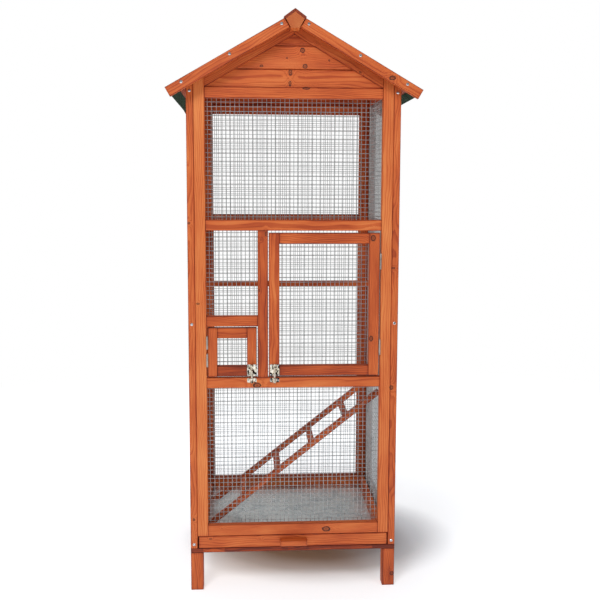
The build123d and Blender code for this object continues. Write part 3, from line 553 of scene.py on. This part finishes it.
def mineral_felt(settings):
    """Bitumen roofing felt rolled with crushed slate: dark green grit about a millimetre across,
    matt, with a few pale grains and bare black bitumen between them."""
    material, tree = new_material("green_mineral_roofing_felt")
    spot = add_node(tree, "ShaderNodeTexCoord")
    grit = add_node(tree, "ShaderNodeTexVoronoi", {"Vector": spot.outputs["Object"],
                                                   "Scale": 1 / settings.grit})
    stone = add_node(tree, "ShaderNodeSeparateColor", {0: grit.outputs["Color"]})
    cloud = add_node(tree, "ShaderNodeTexNoise", {"Vector": spot.outputs["Object"],
                                                  "Scale": 1000 / 45, "Detail": 4.0})
    mixed = add_node(tree, "ShaderNodeMath", {0: cloud.outputs[0], 1: 0.6, 2: stone.outputs[0]},
                     operation="MULTIPLY_ADD")
    shade = add_node(tree, "ShaderNodeValToRGB", {0: mixed}, stops=[
        (0.25, linear("#07120A")), (0.7, tuple(settings.slate)), (0.9, linear("#1B3B24")),
        (1.0, linear("#3C5342"))])
    close_material(tree, shade.outputs[0], 0.92, grit.outputs["Distance"], strength=0.7,
                   depth=0.0007, Specular_IOR_Level=0.15)
    return material


# ------------------------------------------------------------------------------ settings
class CageTimberSettings(bpy.types.PropertyGroup):
    """Colours, grain and rounding of the stained timber"""
    light: bpy.props.FloatVectorProperty(
        name="Light", description="Early wood that took little stain", subtype="COLOR", size=4,
        default=linear("#E08646"))
    body: bpy.props.FloatVectorProperty(
        name="Body", description="The usual stained colour", subtype="COLOR", size=4,
        default=linear("#CC6228"))
    dark: bpy.props.FloatVectorProperty(
        name="Dark", description="Late wood and blotches", subtype="COLOR", size=4,
        default=linear("#AA4110"))
    # Deep is also the painted shade at joints and along the arrises, besides the real end grain
    # and gathered stain.
    deep: bpy.props.FloatVectorProperty(
        name="Deep", description="End grain and stain gathered in corners", subtype="COLOR",
        size=4, default=linear("#661D03"))
    knot: bpy.props.FloatVectorProperty(
        name="Knot", description="Knots", subtype="COLOR", size=4, default=linear("#3C1304"))
    ring_spacing: bpy.props.FloatProperty(
        name="Ring spacing", description="Distance between growth rings in millimetres",
        default=3.6, min=0.5)
    ring_contrast: bpy.props.FloatProperty(
        name="Ring contrast", description="How dark the late wood is", default=0.32, min=0)
    board_variation: bpy.props.FloatProperty(
        name="Board variation", description="Difference of tone from board to board",
        default=0.045, min=0)
    arris: bpy.props.FloatProperty(
        name="Arris", description="Rounding of each sawn edge", default=0.45 * MM, min=0,
        unit="LENGTH", precision=5)
    lap_round: bpy.props.FloatProperty(
        name="Lap rounding", description="Rounding of the gable boards' lapped edges",
        default=1.6 * MM, min=0, unit="LENGTH", precision=5)


class CageWireSettings(bpy.types.PropertyGroup):
    """Wires of the welded mesh"""
    diameter: bpy.props.FloatProperty(
        name="Diameter", description="Thickness a mesh wire is drawn at; the CAD has 1.1 mm",
        default=1.5 * MM, min=0.2 * MM, unit="LENGTH", precision=5)
    sides: bpy.props.IntProperty(
        name="Sides", description="Sides of each wire", default=8, min=3, max=16)


class CageRoofSettings(bpy.types.PropertyGroup):
    """Roofing felt"""
    slate: bpy.props.FloatVectorProperty(
        name="Slate", description="Colour of the felt's grit", subtype="COLOR", size=4,
        default=linear("#133119"))
    grit: bpy.props.FloatProperty(
        name="Grit", description="Size of a grain", default=1.3 * MM, min=0.2 * MM,
        unit="LENGTH", precision=5)


class CageStageSettings(bpy.types.PropertyGroup):
    """Floor and lights"""
    floor: bpy.props.FloatVectorProperty(
        name="Floor", description="Colour of the floor", subtype="COLOR", size=4,
        default=linear("#E4E9F0"))
    key: bpy.props.FloatProperty(
        name="Key light", description="Power of the soft main light", default=62.0,
        subtype="POWER")
    sky: bpy.props.FloatProperty(
        name="Room light", description="Strength of the even light from all sides", default=0.33)


# ------------------------------------------------------------------------------ operators
def saw(context, group, finger_jointed=False):
    """Every timber of a group, in the fir that all of them share."""
    settings = context.scene.cage_timber
    name = "finger_jointed_fir" if finger_jointed else "water_stained_fir"
    fir = bpy.data.materials.get(name) or stained_fir(settings, name, finger_jointed)
    for node, stain in group.items():
        timber(node, stain, settings, fir)
    return {"FINISHED"}


class CAGE_OT_base(bpy.types.Operator):
    """Finger-jointed battens of the base"""
    bl_idname = "cage.base"
    bl_label = "Base battens"

    def execute(self, context):
        return saw(context, BASE, finger_jointed=True)


class CAGE_OT_feet(bpy.types.Operator):
    """Four short square feet"""
    bl_idname = "cage.feet"
    bl_label = "Feet"

    def execute(self, context):
        return saw(context, FEET)


class CAGE_OT_panels(bpy.types.Operator):
    """Corner strips, and the frames of the front, sides and back"""
    bl_idname = "cage.panels"
    bl_label = "Panel timbers"

    def execute(self, context):
        return saw(context, PANELS)


class CAGE_OT_gables(bpy.types.Operator):
    """Gable rails and boards, ridge, roof boards and bargeboards"""
    bl_idname = "cage.gables"
    bl_label = "Gables and roof timbers"

    def execute(self, context):
        return saw(context, GABLES)


class CAGE_OT_doors(bpy.types.Operator):
    """Stiles and rails of both doors"""
    bl_idname = "cage.doors"
    bl_label = "Door timbers"

    def execute(self, context):
        return saw(context, DOORS)


class CAGE_OT_tray(bpy.types.Operator):
    """Tray front, handle, walls, plywood bottom and sheet liner"""
    bl_idname = "cage.tray"
    bl_label = "Tray"

    def execute(self, context):
        finish_nodes(["tray_bottom"], birch_ply("bare_birch_plywood"))
        finish_nodes(["tray_liner"],
                     galvanised_steel("spangled_zinc_sheet", "#F0F8FA", "#B4C0C5", 14.0, 0.38,
                                      metallic=0.7))
        return saw(context, TRAY)


class CAGE_OT_perch_and_ladder(bpy.types.Operator):
    """Round perch, and the ladder's stringers and rungs"""
    bl_idname = "cage.perch_and_ladder"
    bl_label = "Perch and ladder"

    def execute(self, context):
        return saw(context, INSIDE)


class CAGE_OT_wire_mesh(bpy.types.Operator):
    """Welded wire mesh of every panel and door"""
    bl_idname = "cage.wire_mesh"
    bl_label = "Wire mesh"

    def execute(self, context):
        zinc = galvanised_steel("hot_dipped_wire", "#B2B7B8", "#868C8E", 3.0, 0.42,
                                metallic=0.65)
        for node in WIRE_MESH:
            wires(node, context.scene.cage_wire, zinc)
        finish_nodes(["ladder_hooks"], zinc)
        return {"FINISHED"}


class CAGE_OT_roof_felt(bpy.types.Operator):
    """Mineral felt on the roof boards"""
    bl_idname = "cage.roof_felt"
    bl_label = "Roof felt"

    def execute(self, context):
        finish_nodes(["roof_felt"], mineral_felt(context.scene.cage_roof))
        return {"FINISHED"}


class CAGE_OT_fittings(bpy.types.Operator):
    """Hinges, bolts and screws"""
    bl_idname = "cage.fittings"
    bl_label = "Hinges, bolts and screws"

    def execute(self, context):
        hinge = plated("bright_zinc_hinge", "#D3D2CC", "#A9A9A4", 0.32, 1.2)
        nickel = plated("polished_nickel", "#F0EADB", "#C9BFA9", 0.07, 0.8, press=0.0030)
        screw = plated("bright_zinc_screw", "#DDE4EA", "#AEB6BE", 0.2, 0.6)
        finish_nodes([n for n in NODES if "hinge" in n], hinge)
        finish_nodes([n for n in NODES if "bolt" in n], nickel)
        finish_nodes([n for n in NODES if "screws" in n], screw)
        return {"FINISHED"}


def floor_paint(settings):
    """Pale matt paint, which also glows though no lamp is in it: painted light. The glow is nil
    under the middle and back of the cage and out past its right side, which leaves a painted
    shadow there, and rises quickly towards the cage's front and left edges. Beyond the lit pool
    round the cage it goes over into the white backdrop: its own colour fades to black while the
    glow grows to full white."""
    material, tree = new_material("pale_painted_floor")
    spot = add_node(tree, "ShaderNodeTexCoord")
    cloud = add_node(tree, "ShaderNodeTexNoise", {"Vector": spot.outputs["Object"],
                                                  "Scale": 1.5, "Detail": 3.0})
    rough = add_node(tree, "ShaderNodeMapRange", {0: cloud.outputs[0], 3: 0.75, 4: 0.85})
    # The ramps run from 0 under the cage, centred a little right of and behind its middle, to 1 at
    # 3 metres, or a little more to the sides.
    out = add_node(tree, "ShaderNodeMapping", {
        "Vector": spot.outputs["Object"], "Location": (-0.03, -0.04, 0.0),
        "Scale": (0.28, 1 / 3, 1 / 3)})
    out = add_node(tree, "ShaderNodeVectorMath", {0: out}, operation="LENGTH")
    out = out.outputs["Value"]
    # Painted light: the floor's own glow, nil in the painted shadow under and to the right of the
    # cage.
    glow = add_node(tree, "ShaderNodeValToRGB", {0: out}, stops=[
        (0.065, 0.0), (0.095, 0.16), (0.13, 0.55), (0.4, 0.8), (0.9, 1.0)])
    paint = add_node(tree, "ShaderNodeValToRGB", {0: out}, stops=[
        (0.4, tuple(settings.floor)), (0.9, linear("#000000"))])
    close_material(tree, paint.outputs[0], rough.outputs[0], Specular_IOR_Level=0.0,
                   Emission_Color=linear("#FFFFFF"), Emission_Strength=glow.outputs[0])
    return material


def black_velvet():
    """Card covered in black velvet, which throws back almost no light."""
    material, tree = new_material("black_card")
    close_material(tree, linear("#060606"), 1.0, Specular_IOR_Level=0.0)
    return material


def soft_white_room(strength):
    """White cards to the left and overhead and a black one low on the right, so that polished
    metal has something to show. The camera itself sees plain white."""
    world = bpy.data.worlds.new("soft_white_room")
    world.use_nodes = True
    tree = world.node_tree
    tree.nodes.clear()
    aim = add_node(tree, "ShaderNodeTexCoord")
    aim = add_node(tree, "ShaderNodeSeparateXYZ", {0: aim.outputs["Generated"]})
    cards = add_node(tree, "ShaderNodeMapRange", {0: aim.outputs[0], 1: -1.0, 2: 1.0})
    cards = add_node(tree, "ShaderNodeValToRGB", {0: cards}, stops=[
        (0.0, linear("#8F8A84")), (0.28, linear("#FFFFFF")), (0.54, linear("#FFF6E6")),
        (0.565, linear("#080706")), (0.95, linear("#120F0D"))])
    above = add_node(tree, "ShaderNodeMath", {0: aim.outputs[2]}, operation="ABSOLUTE")
    above = add_node(tree, "ShaderNodeMapRange", {0: above, 1: 0.36, 2: 0.5})
    cards = add_node(tree, "ShaderNodeMix", {0: above, 6: cards.outputs[0],
                                             7: linear("#F8F8F8")}, data_type="RGBA")
    ray = add_node(tree, "ShaderNodeLightPath")
    room = add_node(tree, "ShaderNodeBackground", {"Color": cards.outputs[2],
                                                   "Strength": strength})
    blank = add_node(tree, "ShaderNodeBackground", {"Color": linear("#FFFFFF"),
                                                    "Strength": 1.0})
    shown = add_node(tree, "ShaderNodeMixShader", {0: ray.outputs["Is Camera Ray"],
                                                   1: room, 2: blank})
    add_node(tree, "ShaderNodeOutputWorld", {"Surface": shown})
    return world


def staged_sheet(name, corners, material):
    """A flat sheet of the stage between four corners."""
    mesh = bpy.data.meshes.new(name)
    mesh.from_pydata(corners, [], [(0, 1, 2, 3)])
    mesh.materials.append(material)
    sheet = bpy.data.objects.new(name, mesh)
    bpy.context.scene.collection.objects.link(sheet)
    return sheet


class CAGE_OT_stage(bpy.types.Operator):
    """Pale floor, soft lights and the camera"""
    bl_idname = "cage.stage"
    bl_label = "Stage"

    def execute(self, context):
        settings = context.scene.cage_stage
        scene = context.scene
        reach = 14.0
        staged_sheet("floor", [(-reach, -reach, 0), (reach, -reach, 0), (reach, reach, 0),
                               (-reach, reach, 0)], floor_paint(settings))
        # A black card in front on the right, which only reflections see.
        left, right, low, high, away = -0.05, 1.6, 0.05, 1.15, -1.6
        card = staged_sheet("black_card", [(left, away, low), (right, away, low),
                                           (right, away, high), (left, away, high)],
                            black_velvet())
        card.visible_camera = card.visible_diffuse = card.visible_shadow = False
        card.visible_transmission = card.visible_volume_scatter = False
        scene.world = soft_white_room(settings.sky)
        for name, place, size, share in LAMPS:
            data = bpy.data.lights.new(name, "AREA")
            data.shape = "DISK"
            data.size = size
            data.energy = settings.key * share
            lamp = bpy.data.objects.new(name, data)
            lamp.location = place
            lamp.rotation_mode = "QUATERNION"
            aim = Vector(LIT_MIDDLE) - Vector(place)
            lamp.rotation_quaternion = aim.to_track_quat("-Z", "Y")
            scene.collection.objects.link(lamp)
        data = bpy.data.cameras.new("camera")
        data.sensor_width = SENSOR
        data.lens = LENS
        data.shift_x, data.shift_y = CAMERA_SHIFT
        camera = bpy.data.objects.new("camera", data)
        turn = Matrix((CAMERA_RIGHT, CAMERA_UP, CAMERA_BACK)).transposed()
        camera.matrix_world = Matrix.Translation(CAMERA_PLACE) @ turn.to_4x4()
        scene.collection.objects.link(camera)
        scene.camera = camera
        scene.view_settings.view_transform = "Standard"
        return {"FINISHED"}


class CAGE_PT_sidebar(bpy.types.Panel):
    """Every step of the finish, in order"""
    bl_label = "Bird cage"
    bl_idname = "CAGE_PT_sidebar"
    bl_space_type = "VIEW_3D"
    bl_region_type = "UI"
    bl_category = "Bird cage"

    def draw(self, context):
        for operator in OPERATORS:
            self.layout.operator(operator.bl_idname)
        for group in SETTINGS:
            box = self.layout.box()
            held = getattr(context.scene, group)
            for name in SETTINGS[group].__annotations__:
                box.prop(held, name)


SETTINGS = {
    "cage_timber": CageTimberSettings, "cage_wire": CageWireSettings,
    "cage_roof": CageRoofSettings, "cage_stage": CageStageSettings,
}
OPERATORS = (CAGE_OT_base, CAGE_OT_feet, CAGE_OT_panels, CAGE_OT_gables, CAGE_OT_doors,
             CAGE_OT_tray, CAGE_OT_perch_and_ladder, CAGE_OT_wire_mesh, CAGE_OT_roof_felt,
             CAGE_OT_fittings, CAGE_OT_stage)


def register():
    """Settings first, then the operators and the panel that lists them"""
    for name, group in SETTINGS.items():
        bpy.utils.register_class(group)
        setattr(bpy.types.Scene, name, bpy.props.PointerProperty(type=group))
    for kind in (*OPERATORS, CAGE_PT_sidebar):
        bpy.utils.register_class(kind)


def unregister():
    """Takes everything out again, last first"""
    for kind in (CAGE_PT_sidebar, *reversed(OPERATORS)):
        bpy.utils.unregister_class(kind)
    for name, group in SETTINGS.items():
        delattr(bpy.types.Scene, name)
        bpy.utils.unregister_class(group)


def main():
    """Runs every operator in order"""
    register()
    bpy.ops.cage.base()
    bpy.ops.cage.feet()
    bpy.ops.cage.panels()
    bpy.ops.cage.gables()
    bpy.ops.cage.doors()
    bpy.ops.cage.tray()
    bpy.ops.cage.perch_and_ladder()
    bpy.ops.cage.wire_mesh()
    bpy.ops.cage.roof_felt()
    bpy.ops.cage.fittings()
    bpy.ops.cage.stage()


if __name__ == "__main__":
    main()
